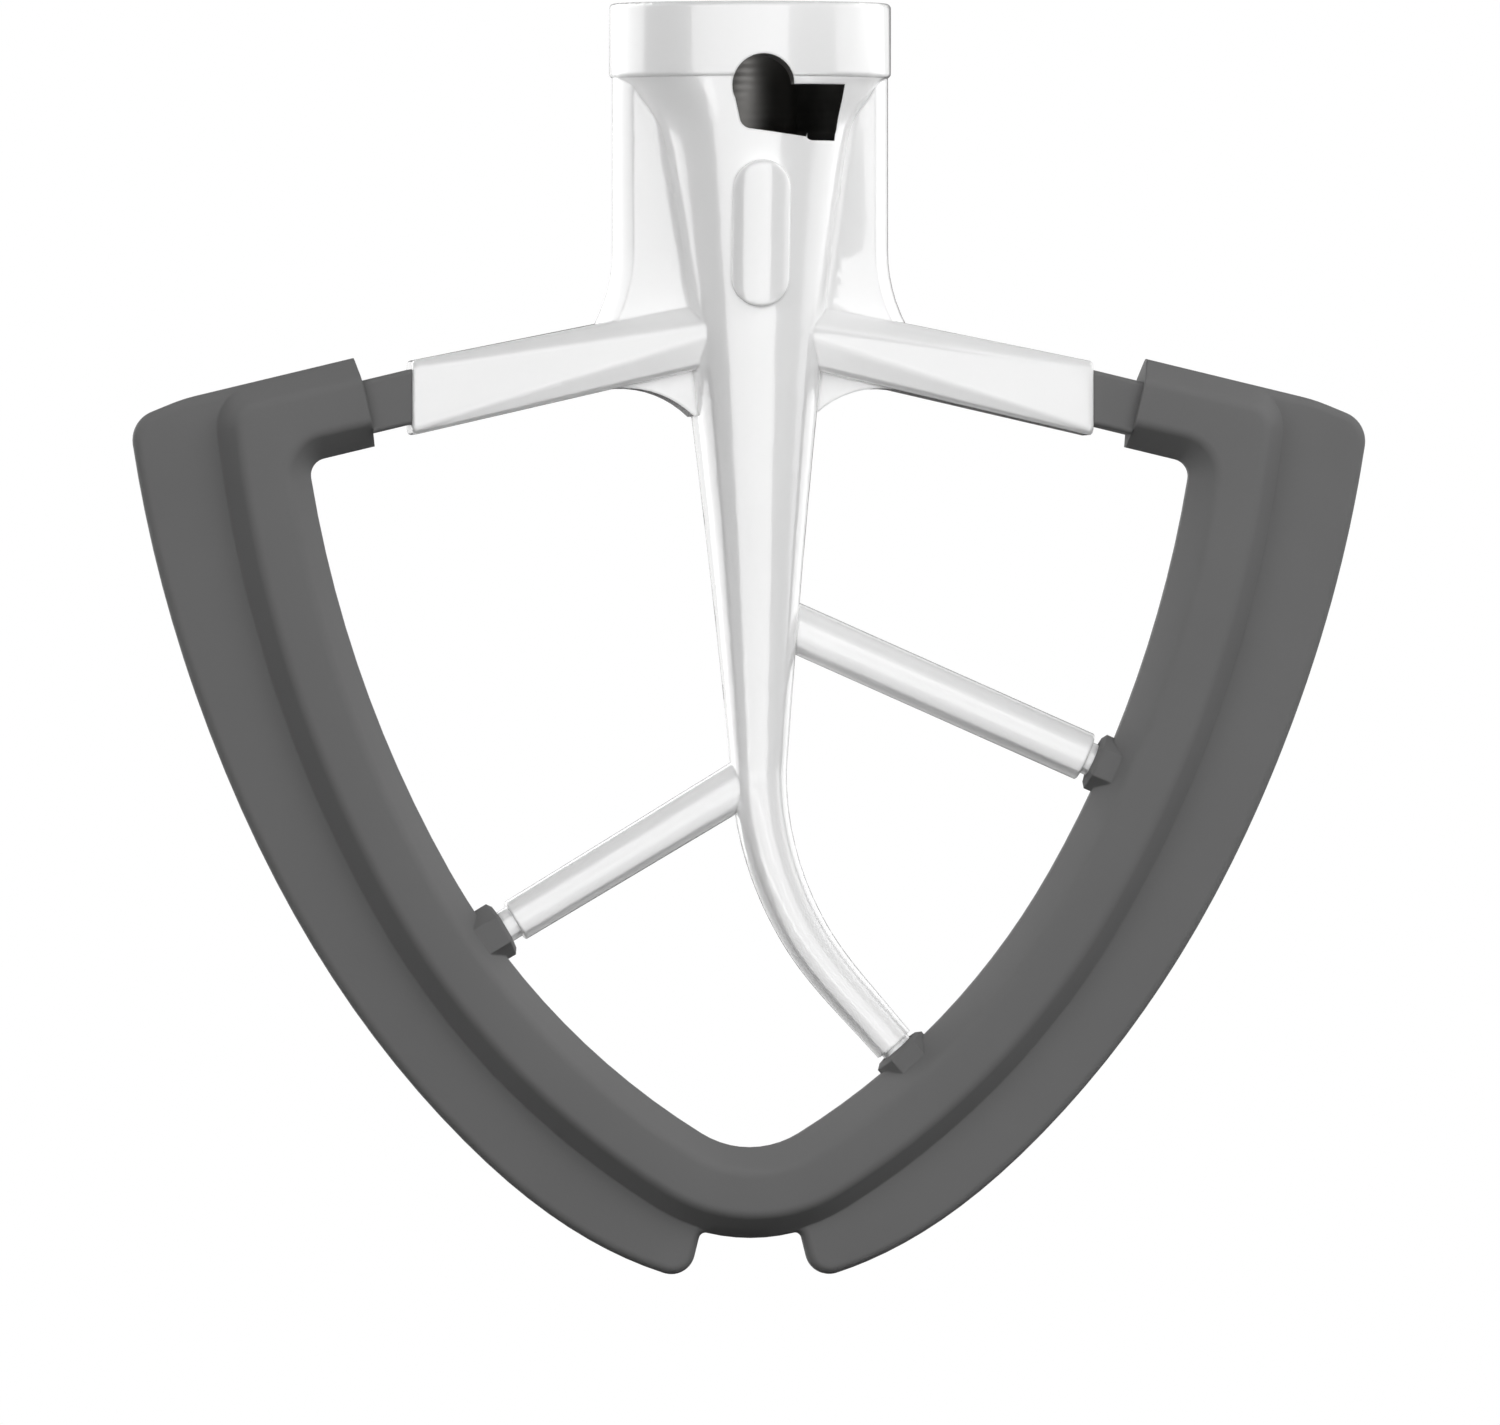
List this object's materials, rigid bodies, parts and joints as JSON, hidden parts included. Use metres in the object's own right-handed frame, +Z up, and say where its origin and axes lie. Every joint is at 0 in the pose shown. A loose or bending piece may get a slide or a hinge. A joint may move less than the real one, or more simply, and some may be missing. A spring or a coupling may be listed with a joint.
{
  "type": "stand mixer flat beater",
  "caption": "Coated metal flat beater with a soft wiping edge round its rim, a bayonet bore on top and struts from a bent spine, for mixing batter in a stand mixer bowl.",
  "frame": {"origin": "centre of the drive bore's mouth, on the flat top of the hub", "axes": "+Z up along the bore and out of its mouth, X along the arms, front with the bayonet slot to -Y"},
  "size_m": [0.1458, 0.0332, 0.1496],
  "materials": {
    "coated_casting": "gloss white coating",
    "soft_edge": "matt grey silicone"
  },
  "bodies": {
    "root": {"beater_frame": "coated_casting", "wiping_edge": "soft_edge"}
  },
  "joints": []
}
